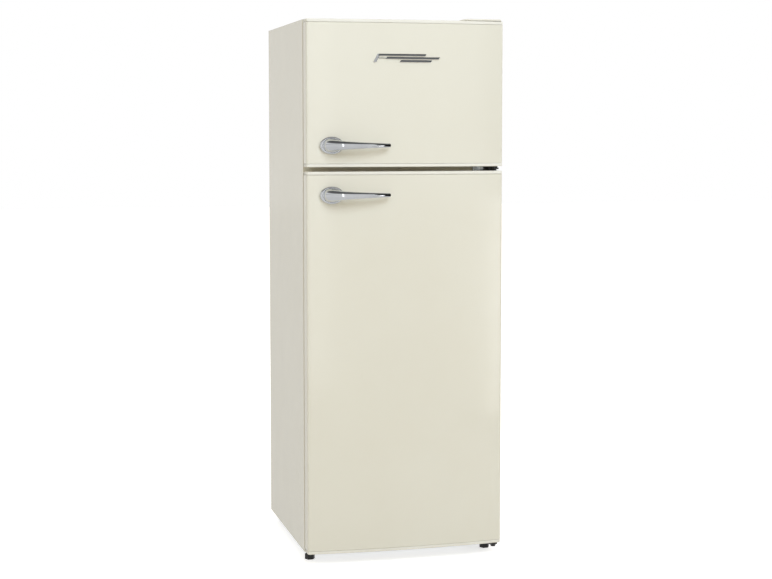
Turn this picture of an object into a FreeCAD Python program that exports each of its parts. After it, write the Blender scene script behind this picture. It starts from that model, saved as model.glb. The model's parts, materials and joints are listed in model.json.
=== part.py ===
import FreeCAD, Part
import math
import os

os.makedirs("parts", exist_ok=True)

V = FreeCAD.Vector

# Two-door top-freezer refrigerator, free standing, doors hinged on the right.
# Frame: +Z up, the doors face -Y, the hinges are on the +X side.
# Origin: centre of the bounding box's bottom face, on the floor. All sizes in mm.

# ---------------------------------------------------------------- driving dimensions
width = 540.0                 # cabinet and doors, side to side
cabinet_top = 1456.0          # floor to the cabinet's top
cabinet_bottom = 28.0         # floor to the cabinet's underside
door_side_depth = 41.0        # a door's depth at its side edges
door_crown = 14.0             # how far a door's front bows out at its middle
door_gap_behind = 9.0         # door's back face to the cabinet's front face
body_depth = 557.0            # door corner plane to the cabinet's rear edge
handle_reach = 50.0           # handles in front of the door corner plane
condenser_reach = 25.0        # condenser spacers behind the cabinet's rear edge
fridge_door_bottom = 32.0
fridge_door_top = 1055.0
freezer_door_bottom = 1067.0
freezer_door_top = 1455.0
hinge_cover_top = 1461.5      # highest point of the whole object
top_bracket_sheet = 2.0
screw_head = 1.9              # height of a hinge screw's head

sheet = 1.0                   # steel sheet
liner_wall = 1.5              # vacuum-formed plastic
cap_height = 9.0              # visible height of a door's end cap
door_corner_radius = 5.0
side_flange = 20.0            # width of the side panels' front return
hinge_from_side = 16.0        # hinge axis to the door's right edge
hinge_from_front = 16.0       # hinge axis to the door corner plane
pin_radius = 4.0
bore_radius = 4.06            # running clearance on a hinge pin
gasket_inset = 7.0            # gasket to a door's free edges
gasket_width = 16.0
gasket_clearance = 0.3        # gasket to the cabinet's front face

fridge_floor = 72.0
fridge_ceiling = 1030.0
fridge_half_width = 232.0
freezer_floor = 1092.0
freezer_ceiling = 1406.0
freezer_half_width = 222.0
bay_depth = 170.0             # machine bay, at the lower rear
bay_top = 205.0
step_top = 235.0              # floor over the machine bay, inside the fridge
step_depth = 210.0            # cabinet's rear edge to the step's front

# ---------------------------------------------------------------- worked out from them
half_width = width / 2
overall_depth = handle_reach + body_depth + condenser_reach
y_corner = handle_reach - overall_depth / 2
y_door_back = y_corner + door_side_depth
y_cab = y_door_back + door_gap_behind
y_rear = y_corner + body_depth
y_bay = y_rear - bay_depth
y_step = y_rear - step_depth
fridge_y_rear = y_rear - 42.0
freezer_y_rear = y_rear - 60.0
hinge_x = half_width - hinge_from_side
hinge_y = y_corner + hinge_from_front
bow_radius = (half_width ** 2 + door_crown ** 2) / (2 * door_crown)
bow_centre_y = y_corner - door_crown + bow_radius
flange_x = half_width - side_flange
rail_bottom = 1045.0
rail_top = 1077.0
axis_x = V(1, 0, 0)
axis_y = V(0, 1, 0)
axis_z = V(0, 0, 1)


# ---------------------------------------------------------------- small builders
def box(x0, x1, y0, y1, z0, z1):
    return Part.makeBox(x1 - x0, y1 - y0, z1 - z0, V(x0, y0, z0))


def rod(start, direction, radius, length):
    return Part.makeCylinder(radius, length, V(*start), direction)


def fuse(shapes):
    return shapes[0].multiFuse(shapes[1:]).removeSplitter()


def cut(shape, tools):
    for tool in tools:
        shape = shape.cut(tool)
    return shape


def prism(points, direction, length):
    """Extrudes a closed outline, given as a list of vectors."""
    outline = Part.makePolygon(points + [points[0]])
    return Part.Face(outline).extrude(direction * length)


def edges_along(shape, direction):
    found = []
    for edge in shape.Edges:
        if isinstance(edge.Curve, (Part.Line, Part.LineSegment)):
            if abs(edge.tangentAt(edge.FirstParameter).dot(direction)) > 0.999:
                found.append(edge)
    return found


def rounded_box(x0, x1, y0, y1, z0, z1, radius, direction=axis_z):
    """A box whose four edges along one direction are rounded."""
    block = box(x0, x1, y0, y1, z0, z1)
    return block.makeFillet(radius, edges_along(block, direction))


def bow_y(x, inset=0.0):
    """Y of the door's bowed front at x, for an outline drawn in by inset."""
    return bow_centre_y - math.sqrt((bow_radius - inset) ** 2 - x ** 2)


def door_slab(inset, y_back, z0, z1, corner_radius=0.0):
    """A door's plan outline, drawn in by inset, extruded from z0 to z1."""
    half = half_width - inset
    y_side = bow_y(half, inset)
    left = V(-half, y_side, z0)
    right = V(half, y_side, z0)
    crest = V(0, bow_y(0, inset), z0)
    back_right = V(half, y_back, z0)
    back_left = V(-half, y_back, z0)
    edges = [
        Part.Arc(left, crest, right).toShape(),
        Part.makeLine(right, back_right),
        Part.makeLine(back_right, back_left),
        Part.makeLine(back_left, left),
    ]
    slab = Part.Face(Part.Wire(edges)).extrude(V(0, 0, z1 - z0))
    if corner_radius:
        front_edges = [e for e in edges_along(slab, axis_z) if e.CenterOfMass.y < y_corner + 5]
        slab = slab.makeFillet(corner_radius, front_edges)
    return slab


def open_bin(x0, x1, y0, y1, z0, z1, wall, radius):
    """An open-topped box with rounded upright corners."""
    outer = rounded_box(x0, x1, y0, y1, z0, z1, radius)
    inner = rounded_box(x0 + wall, x1 - wall, y0 + wall, y1 - wall, z0 + wall, z1 + wall, radius - wall)
    return outer.cut(inner)


def pipe(points, radius, bend):
    """A round tube along straight runs joined by tangent arcs."""
    edges = []
    start = points[0]
    for corner, after in zip(points[1:-1], points[2:]):
        back = (start - corner).normalize()
        ahead = (after - corner).normalize()
        half_turn = (math.pi - back.getAngle(ahead)) / 2
        reach = bend * math.tan(half_turn)
        arc_in = corner + back * reach
        arc_out = corner + ahead * reach
        middle = (back + ahead).normalize()
        arc_mid = corner + middle * (bend / math.cos(half_turn) - bend)
        edges.append(Part.makeLine(start, arc_in))
        edges.append(Part.Arc(arc_in, arc_mid, arc_out).toShape())
        start = arc_out
    edges.append(Part.makeLine(start, points[-1]))
    path = Part.Wire(edges)
    section = Part.Wire(Part.makeCircle(radius, points[0], points[1] - points[0]))
    return path.makePipeShell([section], True, False)


def save(name, shape):
    shape.exportStep("parts/" + name + ".step")


# ---------------------------------------------------------------- cabinet shell
screw_radius = 2.5
screw_hole_radius = 2.6


def hinge_screw_places():
    """Head seats and inward directions of the hinge brackets' screws."""
    places = []
    for x, dy in ((190, 22), (216, 46), (250, 46)):
        places.append((V(x, y_cab + dy, cabinet_top + top_bracket_sheet), V(0, 0, -1)))
    for x in (208, 226):
        places.append((V(x, y_cab - 3, 1061), V(0, 1, 0)))
    for x, dy in ((196, 60), (228, 78)):
        places.append((V(x, y_cab + dy, cabinet_bottom - 3), V(0, 0, 1)))
    return places


def screw_holes():
    return [Part.makeCylinder(screw_hole_radius, 12, seat - inward * 4, inward)
            for seat, inward in hinge_screw_places()]


def side_panel(side):
    """Side sheet with front and rear returns bent inwards. side is -1 left, 1 right."""
    outer = side * half_width
    points = [
        V(outer, y_cab, cabinet_bottom),
        V(outer, y_rear, cabinet_bottom),
        V(outer - side * 18, y_rear, cabinet_bottom),
        V(outer - side * 18, y_rear - sheet, cabinet_bottom),
        V(outer - side * sheet, y_rear - sheet, cabinet_bottom),
        V(outer - side * sheet, y_cab + sheet, cabinet_bottom),
        V(side * flange_x, y_cab + sheet, cabinet_bottom),
        V(side * flange_x, y_cab, cabinet_bottom),
    ]
    panel = prism(points, axis_z, cabinet_top - sheet - cabinet_bottom)
    corners = []
    for edge in edges_along(panel, axis_z):
        if abs(edge.CenterOfMass.x - outer) < 0.01:
            corners.append(edge)
    return panel.makeFillet(0.9, corners)


def top_panel():
    plate = box(-half_width, half_width, y_cab, y_rear, cabinet_top - sheet, cabinet_top)
    plate = plate.makeFillet(0.6, [e for e in plate.Edges if e.CenterOfMass.z > cabinet_top - 0.1])
    front = box(-flange_x, flange_x, y_cab, y_cab + sheet, cabinet_top - 20, cabinet_top - sheet)
    rear = box(-252, 252, y_rear - sheet, y_rear, cabinet_top - 20, cabinet_top - sheet)
    return cut(fuse([plate, front, rear]), screw_holes())


foot_x = 249.0
foot_y = y_cab + 30.0
foot_stem_radius = 4.0


def foot_holes(radius, z0, z1):
    return [rod((side * foot_x, foot_y, z0), axis_z, radius, z1 - z0) for side in (-1, 1)]


def base_plate():
    """One bent sheet: front return, floor, front and roof of the machine bay."""
    inner = half_width - sheet
    thick = 1.2
    sheets = [
        box(-flange_x, flange_x, y_cab, y_cab + thick, cabinet_bottom, cabinet_bottom + 20),
        box(-inner, inner, y_cab + sheet, y_bay, cabinet_bottom, cabinet_bottom + thick),
        box(-inner, inner, y_bay - thick, y_bay, cabinet_bottom, bay_top),
        box(-inner, inner, y_bay - thick, y_rear - sheet, bay_top - thick, bay_top),
    ]
    return cut(fuse(sheets), screw_holes() + foot_holes(4.1, cabinet_bottom - 1, cabinet_bottom + 4))


roller_radius = 14.0
roller_x = 240.0
roller_half = 7.0
roller_y = y_rear - 30.0


def compressor_tray():
    """Steel tray across the bay, with the rear rollers' ears and axle pins."""
    inner = half_width - sheet - 0.5
    pieces = [
        box(-inner, inner, y_bay + 0.5, y_rear - sheet, cabinet_bottom, cabinet_bottom + 1.5),
        box(-inner, inner, y_rear - sheet - 1.5, y_rear - sheet, cabinet_bottom, cabinet_bottom + 14),
    ]
    for side in (-1, 1):
        for gap in (-1, 1):
            middle = side * roller_x + gap * (roller_half + 2)
            ear = box(middle - 1, middle + 1, roller_y - 11, roller_y + 11, 6, cabinet_bottom + 1)
            pieces.append(ear)
        reach = roller_half + 4
        pieces.append(rod((side * roller_x - reach, roller_y, roller_radius), axis_x, pin_radius, 2 * reach))
    return fuse(pieces)


def back_panel():
    plate = box(-262, 262, y_rear, y_rear + sheet, bay_top - 6, cabinet_top - 4)
    ribs = []
    for x in (-130, 0, 130):
        ribs.append(rod((x, y_rear + sheet - 2.2, 300), axis_z, 3.5, 1060))
    outside = box(-half_width, half_width, y_rear + 0.5, y_rear + 10, 0, cabinet_top)
    return fuse([plate] + [rib.common(outside) for rib in ribs])


def mid_rail():
    """Front cross rail between the two compartments: a channel open to the rear."""
    block = box(-flange_x, flange_x, y_cab, y_cab + 10, rail_bottom, rail_top)
    hollow = box(-flange_x, flange_x, y_cab + liner_wall, y_cab + 11,
                 rail_bottom + liner_wall, rail_top - liner_wall)
    return cut(block.cut(hollow), screw_holes())


# ---------------------------------------------------------------- compartments
shelf_levels = (460.0, 640.0, 820.0)
crisper_cover_level = 292.0
freezer_shelf_level = 1246.0
shelf_front = y_cab + 104.0


def fridge_cavity(grow):
    """Inside of the fresh-food compartment with its step over the machine bay."""
    half = fridge_half_width + grow
    points = [
        V(-half, y_cab - 1, fridge_floor - grow),
        V(-half, y_step + grow, fridge_floor - grow),
        V(-half, y_step + grow, step_top - grow),
        V(-half, fridge_y_rear + grow, step_top - grow),
        V(-half, fridge_y_rear + grow, fridge_ceiling + grow),
        V(-half, y_cab - 1, fridge_ceiling + grow),
    ]
    cavity = prism(points, axis_x, 2 * half)
    rounded = edges_along(cavity, axis_y) + [
        e for e in edges_along(cavity, axis_z) if e.CenterOfMass.y > fridge_y_rear - 1]
    return cavity.makeFillet(9 + grow, rounded)


def freezer_cavity(grow):
    half = freezer_half_width + grow
    cavity = box(-half, half, y_cab - 1, freezer_y_rear + grow, freezer_floor - grow, freezer_ceiling + grow)
    rounded = edges_along(cavity, axis_y) + [
        e for e in edges_along(cavity, axis_z) if e.CenterOfMass.y > freezer_y_rear - 1]
    return cavity.makeFillet(9 + grow, rounded)


def liner(cavity, z0, z1, half_inside, ledges, ledge_rear):
    """A plastic tub with a front flange and pairs of ledges for the shelves."""
    flange = box(-flange_x, flange_x, y_cab, y_cab + liner_wall, z0, z1)
    front = box(-half_width, half_width, y_cab - 5, y_cab, 0, cabinet_top)
    tub = fuse([flange, cavity(liner_wall).cut(front)]).cut(cavity(0))
    rails = []
    for level in ledges:
        for side in (-1, 1):
            x0 = side * (half_inside - 8)
            x1 = side * (half_inside + 0.5)
            rails.append(rounded_box(min(x0, x1), max(x0, x1), shelf_front - 4, ledge_rear - 12,
                                     level - 7, level, 2, axis_y))
    return fuse([tub] + rails)


def cabinet_foam():
    """Foamed-in insulation: everything between the outer sheets and the liners."""
    inner = half_width - sheet
    block = box(-inner, inner, y_cab + liner_wall, y_rear - sheet, cabinet_bottom + 1.2, cabinet_top - sheet)
    bay = box(-half_width, half_width, y_bay - 1.2, y_rear, 0, bay_top)
    rail = box(-flange_x, flange_x, y_cab, y_cab + 10, rail_bottom, rail_top)
    tools = [bay, rail, fridge_cavity(liner_wall), freezer_cavity(liner_wall)]
    return cut(block, tools + screw_holes() + foot_holes(6, cabinet_bottom, cabinet_bottom + 20))


def evaporator_plate():
    """Roll-bonded cold plate on the freezer's rear wall, with its raised channel."""
    z0 = freezer_floor + 18
    z1 = freezer_ceiling - 18
    y1 = freezer_y_rear - 1
    half = freezer_half_width - 18
    plate = rounded_box(-half, half, y1 - 2, y1, z0, z1, 8, axis_y)
    passes = 7
    pitch = (z1 - z0 - 40) / (passes - 1)
    channel = []
    for i in range(passes):
        channel.append(rod((-half + 22, y1 - 2, z0 + 20 + i * pitch), axis_x, 4, 2 * half - 44))
    for i in range(passes - 1):
        side = 1 if i % 2 else -1
        channel.append(rod((side * (half - 22), y1 - 2, z0 + 20 + i * pitch), axis_z, 4, pitch))
    behind = box(-half_width, half_width, y1 - 1, y1 + 20, 0, cabinet_top)
    return fuse([plate] + [run.cut(behind) for run in channel])


def freezer_shelf():
    """Welded wire shelf: two cross rails and a rim under lengthwise wires."""
    half = freezer_half_width - 3
    y0 = shelf_front - 20
    y1 = freezer_y_rear - 14
    z = freezer_shelf_level + 3
    pieces = []
    for y in (y0, (y0 + y1) / 2, y1):
        pieces.append(rod((-half, y, z), axis_x, 3, 2 * half))
    wires = 15
    for i in range(wires):
        x = -half + 6 + i * (2 * half - 12) / (wires - 1)
        pieces.append(rod((x, y0 - 2, z + 3), axis_y, 1.8, y1 - y0 + 4))
    return fuse(pieces)


def glass_shelf(level, y_back):
    half = fridge_half_width - 2
    return rounded_box(-half, half, shelf_front, y_back, level, level + 4, 6)


def shelf_trims():
    """Front edge trims of the four glass plates, each a slim channel."""
    half = fridge_half_width - 12
    trims = []
    for level in shelf_levels + (crisper_cover_level,):
        outer = rounded_box(-half, half, shelf_front - 6, shelf_front + 12, level - 2.5, level + 7, 2, axis_x)
        slot = box(-half_width, half_width, shelf_front, shelf_front + 20, level, level + 4)
        trims.append(outer.cut(slot))
    return Part.makeCompound(trims)


drawer_front = y_cab + 108.0


def crisper_drawer():
    """Vegetable drawer: a tub with a turned-out grip along its front top edge."""
    tub = open_bin(-214, 214, drawer_front, y_step - 8, fridge_floor + 2, 268, 2.5, 12)
    lip = rounded_box(-150, 150, drawer_front - 9, drawer_front + 1, 258, 268, 3, axis_x)
    return fuse([tub, lip])


# ---------------------------------------------------------------- thermostat and lamp
housing_front = y_cab + 54.0
plunger_x = 204.0
plunger_z = 1004.0
plunger_radius = 4.0
knob_x = 112.0
knob_z = 1008.0


def thermostat_housing():
    block = rounded_box(70, 226, housing_front, housing_front + 190, 986, fridge_ceiling - 0.2, 8, axis_y)
    lamp_room = box(84, 186, housing_front + 60, housing_front + 160, 985, 1012)
    plunger_bore = rod((plunger_x, housing_front - 1, plunger_z), axis_y, plunger_radius + 0.08, 40)
    knob_bore = rod((knob_x, housing_front - 1, knob_z), axis_y, 3.06, 17)
    return cut(block, [lamp_room, plunger_bore, knob_bore])


def lamp_lens():
    """Ribbed diffuser closing the lamp room from below."""
    y0 = housing_front + 58
    y1 = housing_front + 162
    plate = rounded_box(80, 190, y0, y1, 981, 985.8, 6)
    wall = rounded_box(85, 185, y0 + 4, y1 - 4, 985, 996, 4)
    room = box(87, 183, y0 + 6, y1 - 6, 983, 997)
    return fuse([plate, wall]).cut(room)


def thermostat_knob():
    """Dial with a finger ridge and a shaft that turns in the housing."""
    face = housing_front - 1
    dial = rod((knob_x, face - 8, knob_z), axis_y, 14, 8)
    dial = dial.makeFillet(1.5, [e for e in dial.Edges if abs(e.CenterOfMass.y - (face - 8)) < 0.1])
    ridge = rounded_box(knob_x - 2.5, knob_x + 2.5, face - 14, face - 7, knob_z - 12, knob_z + 12, 1.5, axis_z)
    shaft = rod((knob_x, face - 1, knob_z), axis_y, 3, 14)
    return fuse([dial, ridge, shaft])


def light_switch_plunger():
    """Round-nosed plunger that the door's inner rim holds in."""
    tip = y_door_back + 1.2 + 46 + 0.5
    stem = rod((plunger_x, tip, plunger_z), axis_y, plunger_radius, housing_front + 28 - tip)
    return stem.makeFillet(1.8, [e for e in stem.Edges if abs(e.CenterOfMass.y - tip) < 0.1])


# ---------------------------------------------------------------- hinges
def hinge_pin(z0, z1):
    return rod((hinge_x, hinge_y, z0), axis_z, pin_radius, z1 - z0)


def flat_arm(points, z0, z1):
    return prism([V(x, y, z0) for x, y in points], axis_z, z1 - z0)


def top_hinge_bracket():
    arm = flat_arm([(178, y_cab + 10), (232, y_cab + 4), (240, hinge_y - 6), (247, hinge_y - 11),
                    (261, hinge_y - 11), (265, hinge_y - 5), (264, y_cab + 58), (178, y_cab + 58)],
                   cabinet_top, cabinet_top + top_bracket_sheet)
    return cut(fuse([arm, hinge_pin(1441.5, cabinet_top + 1)]), screw_holes())


def top_hinge_cover():
    """Moulded cap over the top bracket; its front stays clear above the door."""
    x0, x1 = 166.0, 268.0
    y0, y1 = y_corner + 2, y_cab + 66
    outer = rounded_box(x0, x1, y0, y1, cabinet_top, hinge_cover_top, 9)
    outer = outer.makeFillet(2.5, [e for e in outer.Edges if e.CenterOfMass.z > hinge_cover_top - 0.1])
    room = rounded_box(x0 + 2, x1 - 2, y0 + 2, y1 - 2, cabinet_top - 1, hinge_cover_top - 1.2, 7)
    over_door = box(x0 - 1, x1 + 1, y0 - 1, y_cab - 2, cabinet_top - 1, cabinet_top + 1.2)
    return cut(outer, [room, over_door])


def middle_hinge_bracket():
    """Plate on the cross rail with an arm between the doors and pins both ways."""
    plate = box(200, 263, y_cab - 3, y_cab, 1051, 1071)
    arm = flat_arm([(232, y_cab), (263, y_cab), (265, hinge_y), (260, hinge_y - 9),
                    (248, hinge_y - 9), (243, hinge_y), (240, hinge_y + 18)], 1059, 1063)
    collar = rod((hinge_x, hinge_y, 1063), axis_z, 7, 3.6)
    return cut(fuse([plate, arm, collar, hinge_pin(1042.5, 1080)]), screw_holes())


def bottom_hinge_bracket():
    """Plate under the cabinet's floor, reaching forward to the lower pin."""
    plate = flat_arm([(184, y_cab + 92), (184, y_cab + 44), (236, y_cab - 6), (243, hinge_y - 7),
                      (249, hinge_y - 10), (259, hinge_y - 10), (265, hinge_y - 4), (265, y_cab + 92)],
                     cabinet_bottom - 3, cabinet_bottom)
    collar = rod((hinge_x, hinge_y, cabinet_bottom), axis_z, 7, 3.6)
    nut = prism([V(hinge_x + 7 * math.cos(a * math.pi / 3), hinge_y + 7 * math.sin(a * math.pi / 3), 19)
                 for a in range(6)], axis_z, 6)
    holes = screw_holes() + foot_holes(4.1, cabinet_bottom - 5, cabinet_bottom + 2)
    return cut(fuse([plate, collar, nut, hinge_pin(20, 45)]), holes)


def hinge_screws():
    """Pan-head screws of the three brackets."""
    screws = []
    for seat, inward in hinge_screw_places():
        head = Part.makeCylinder(4.6, screw_head, seat - inward * screw_head, inward)
        rim = [e for e in head.Edges if (e.CenterOfMass - seat).Length > screw_head / 2]
        head = head.makeFillet(1.0, rim)
        shank = Part.makeCylinder(screw_radius, 7.5, seat - inward * 0.5, inward)
        screws.append(fuse([head, shank]))
    return Part.makeCompound(screws)


# ---------------------------------------------------------------- machine bay and rear
compressor_x = 112.0
compressor_y = y_bay + 86.0
pot_radius = 66.0
pot_bottom = 46.0
pot_top = 176.0


def compressor():
    """Welded pot: a lower cup, a domed lid, the weld flange and a foot plate."""
    seam = 104.0
    lower = Part.makeCylinder(pot_radius, seam - pot_bottom, V(compressor_x, compressor_y, pot_bottom))
    lower = lower.makeFillet(22, [e for e in lower.Edges if e.CenterOfMass.z < pot_bottom + 1
                                  and isinstance(e.Curve, Part.Circle)])
    upper = Part.makeCylinder(pot_radius - 2, pot_top - seam, V(compressor_x, compressor_y, seam))
    upper = upper.makeFillet(34, [e for e in upper.Edges if e.CenterOfMass.z > pot_top - 1
                                  and isinstance(e.Curve, Part.Circle)])
    weld = Part.makeCylinder(pot_radius + 2.5, 6, V(compressor_x, compressor_y, seam - 3))
    plate = rounded_box(compressor_x - 92, compressor_x + 92, compressor_y - 46, compressor_y + 46,
                        40, 43, 12)
    saddle = Part.makeCylinder(40, 12, V(compressor_x, compressor_y, 40))
    body = fuse([lower, upper, weld, plate, saddle])
    return cut(body, [rod((x, y, 30), axis_z, 6.5, 20) for x, y in grommet_places()])


def grommet_places():
    return [(compressor_x + sx * 80, compressor_y + sy * 34) for sx in (-1, 1) for sy in (-1, 1)]


def compressor_grommets():
    """Four rubber mounts, waisted where they hold the foot plate."""
    mounts = []
    for x, y in grommet_places():
        foot = rod((x, y, cabinet_bottom + 1.5), axis_z, 11, 10.5)
        waist = rod((x, y, 39), axis_z, 6.4, 6)
        crown = rod((x, y, 43), axis_z, 9, 4)
        mounts.append(fuse([foot, waist, crown]))
    return Part.makeCompound(mounts)


def starter_box():
    x1 = compressor_x - pot_radius - 3
    case = rounded_box(x1 - 34, x1, compressor_y - 26, compressor_y + 30, 62, 128, 5, axis_x)
    lid = rounded_box(x1 - 37, x1 - 34, compressor_y - 23, compressor_y + 27, 65, 125, 4, axis_x)
    return fuse([case, lid])


drier_x = -60.0
drier_y = y_rear - 44.0


def filter_drier():
    """Copper drier: a fat tube necked down at both ends."""
    body = rod((drier_x, drier_y, 70), axis_z, 9.5, 90)
    ends = [e for e in body.Edges if isinstance(e.Curve, Part.Circle)]
    return fuse([body.makeFillet(5, ends), rod((drier_x, drier_y, 56), axis_z, 3.6, 118)])


def refrigerant_pipes():
    """Discharge line to the condenser, suction line, and the drier's outlet."""
    side = compressor_y + 20
    discharge = pipe([V(compressor_x + 50, side + 20, 80), V(compressor_x + 50, y_rear - 14, 80),
                      V(235, y_rear - 14, 80), V(235, y_rear - 14, 192)], 3, 12)
    suction = pipe([V(compressor_x - 10, compressor_y + 52, 122), V(compressor_x - 10, y_rear - 12, 122),
                    V(10, y_rear - 12, 122), V(10, y_rear - 12, 192)], 4, 13)
    feed = pipe([V(drier_x, drier_y, 174), V(drier_x, drier_y, 190), V(drier_x - 60, drier_y, 190)], 2.5, 8)
    charge = pipe([V(compressor_x + 20, compressor_y + 50, 96), V(compressor_x + 20, y_rear - 20, 96),
                   V(compressor_x - 30, y_rear - 20, 96)], 3, 10)
    pot = Part.makeCylinder(pot_radius + 2.6, 200, V(compressor_x, compressor_y, 0))
    return Part.makeCompound([discharge.cut(pot), suction.cut(pot), feed, charge.cut(pot)])


def drip_tray():
    """Evaporating pan over the compressor."""
    return open_bin(compressor_x - 84, compressor_x + 70, compressor_y - 60, compressor_y + 60,
                    pot_top + 1, bay_top - 5, 2, 10)


def cord_inlet():
    """Rubber gland in a clip on the tray's rear lip; the supply cord enters here."""
    x, z = -170.0, 54.0
    clip = box(x - 14, x + 14, y_rear - 8, y_rear - 2.6, cabinet_bottom + 1.5, z + 16)
    gland = rod((x, y_rear - 12, z), axis_y, 9, 20)
    collar = rod((x, y_rear - 1, z), axis_y, 12, 4)
    return fuse([clip, gland, collar]).cut(rod((x, y_rear - 14, z), axis_y, 3.6, 30))


def condenser():
    """Serpentine tube on four upright straps, held off the back by spacers."""
    half = 214.0
    z0, z1 = 262.0, 1390.0
    tube_y = y_rear + 16
    runs = 13
    pitch = (z1 - z0) / (runs - 1)
    loop = pitch / 2
    edges = []
    for i in range(runs):
        z = z0 + i * pitch
        left = V(-half + loop, tube_y, z)
        right = V(half - loop, tube_y, z)
        edges.append(Part.makeLine(left, right))
        if i < runs - 1:
            side = 1 if i % 2 == 0 else -1
            start = V(side * (half - loop), tube_y, z)
            middle = V(side * half, tube_y, z + loop)
            end = V(side * (half - loop), tube_y, z + pitch)
            edges.append(Part.Arc(start, middle, end).toShape())
    path = Part.Wire(Part.__sortEdges__(edges))
    section = Part.Wire(Part.makeCircle(2.5, V(-half + loop, tube_y, z0), axis_x))
    tube = path.makePipeShell([section], True, False)
    pieces = [tube]
    for x in (-150, -50, 50, 150):
        pieces.append(box(x - 6, x + 6, tube_y - 3, tube_y - 1, z0 - 22, z1 + 22))
    for x in (-150, 150):
        for z in (z0 - 16, z1 + 4):
            pieces.append(box(x - 9, x + 9, y_rear + sheet, y_rear + condenser_reach, z, z + 12))
    return fuse(pieces)


# ---------------------------------------------------------------- feet and rollers
def front_foot(side):
    """Hexagonal levelling foot; its threaded stem turns in the base plate."""
    x = side * foot_x
    pad = prism([V(x + 14 * math.cos(a * math.pi / 3), foot_y + 14 * math.sin(a * math.pi / 3), 0)
                 for a in range(6)], axis_z, 15)
    stem = rod((x, foot_y, 14), axis_z, foot_stem_radius, 30)
    return fuse([pad, stem])


def rear_roller(side):
    x = side * roller_x
    wheel = rod((x - roller_half, roller_y, roller_radius), axis_x, roller_radius, 2 * roller_half)
    rims = [e for e in wheel.Edges if isinstance(e.Curve, Part.Circle)]
    wheel = wheel.makeFillet(1.5, rims)
    return wheel.cut(rod((x - 20, roller_y, roller_radius), axis_x, pin_radius + 0.06, 40))


# ---------------------------------------------------------------- doors
def door_skin(z0, z1):
    """Bowed front sheet with its sides turned back and a return behind each."""
    low = z0 + cap_height
    high = z1 - cap_height
    outer = door_slab(0, y_door_back, low, high, door_corner_radius)
    inner = door_slab(sheet, y_door_back + 5, low - 1, high + 1, door_corner_radius - sheet)
    returns = [box(min(s * half_width, s * 256), max(s * half_width, s * 256),
                   y_door_back - sheet, y_door_back, low, high) for s in (-1, 1)]
    return fuse([outer.cut(inner)] + returns)


def door_cap(z_outer, inward):
    """Moulded end cap: a slab with a lip inside the skin and a hinge bush."""
    z_inner = z_outer + inward * cap_height
    low, high = min(z_outer, z_inner), max(z_outer, z_inner)
    slab = door_slab(0, y_door_back, low, high, door_corner_radius)
    rim = [e for e in slab.Edges if abs(e.CenterOfMass.z - z_outer) < 0.01]
    slab = slab.makeFillet(1.6, rim)
    lip_end = z_inner + inward * 8
    lip_low, lip_high = min(z_inner, lip_end), max(z_inner, lip_end)
    lip = door_slab(sheet + 0.2, y_door_back - sheet - 0.2, lip_low, lip_high, door_corner_radius)
    lip = lip.cut(door_slab(sheet + 2.4, y_door_back - sheet - 2.4, lip_low - 1, lip_high + 1))
    boss_end = z_outer + inward * 20
    boss = rod((hinge_x, hinge_y, min(z_outer + inward * 2, boss_end)), axis_z, 9, 18)
    bore = rod((hinge_x, hinge_y, min(z_outer - inward, z_outer + inward * 15.5)), axis_z, bore_radius, 16.5)
    return fuse([slab, lip, boss]).cut(bore)


rim_depth = 46.0              # how far a door's inner rims stand into the cabinet
rim_width = 16.0


def door_rims(half_outside, z0, z1, inset):
    """Raised rims of a door's inner liner: two uprights and two low bars."""
    y0 = y_door_back - 0.5
    base = y_door_back + 1.2
    uprights = []
    for side in (-1, 1):
        x0 = side * (half_outside - inset)
        x1 = side * (half_outside - rim_width + inset)
        post = box(min(x0, x1), max(x0, x1), y0, base + rim_depth - inset, z0 + inset, z1 - inset)
        crest = [e for e in post.Edges if e.CenterOfMass.y > base + rim_depth - inset - 0.1]
        uprights.append(post.makeFillet(4 - inset, crest))
    bars = []
    for z in (z0, z1 - rim_width):
        bars.append(box(-half_outside + 4, half_outside - 4, y0, base + 13 - inset,
                        z + inset, z + rim_width - inset))
    return fuse(uprights + bars)


def door_liner(z0, z1, half_outside, rim_low, rim_high):
    plate = box(-half_width + 3, half_width - 3, y_door_back, y_door_back + 1.2, z0 + 3, z1 - 3)
    outer = door_rims(half_outside, rim_low, rim_high, 0)
    inside = box(-half_width, half_width, y_door_back - 5, y_door_back, z0, z1)
    return fuse([plate, outer.cut(inside)]).cut(door_rims(half_outside, rim_low, rim_high, liner_wall))


def door_foam(z0, z1, half_outside, rim_low, rim_high, caps):
    """Insulation that fills the skin, the caps and the hollow rims."""
    core = door_slab(sheet, y_door_back - sheet, z0 + cap_height, z1 - cap_height,
                     door_corner_radius - sheet)
    middle = box(-256, 256, y_door_back - sheet - 1, y_door_back, z0 + cap_height, z1 - cap_height)
    filled = fuse([core, middle, door_rims(half_outside, rim_low, rim_high, liner_wall)])
    return max(cut(filled, caps).Solids, key=lambda solid: solid.Volume)


def door_gasket(z0, z1):
    """Magnetic seal ring between the door's liner and the cabinet's front."""
    y0 = y_door_back + 1.2
    y1 = y_cab - gasket_clearance
    left = -half_width + gasket_inset
    ring = rounded_box(left, hinge_x, y0, y1, z0 + gasket_inset, z1 - gasket_inset, 6, axis_y)
    hole = rounded_box(left + gasket_width, hinge_x - gasket_width, y0 - 1, y1 + 1,
                       z0 + gasket_inset + gasket_width, z1 - gasket_inset - gasket_width, 3, axis_y)
    return ring.cut(hole)


# ---------------------------------------------------------------- handles
handle_x = -204.0             # centre of a handle's base
base_half_length = 33.0
base_half_height = 24.0


def ellipse_wire(centre, normal, half_up, half_across):
    """An upright ellipse; half_up is along Z, half_across lies in the plan."""
    across = normal.cross(axis_z)
    if half_up >= half_across:
        curve = Part.Ellipse(centre + axis_z * half_up, centre + across * half_across, centre)
    else:
        curve = Part.Ellipse(centre + across * half_across, centre + axis_z * half_up, centre)
    return Part.Wire(curve.toShape())


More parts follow.
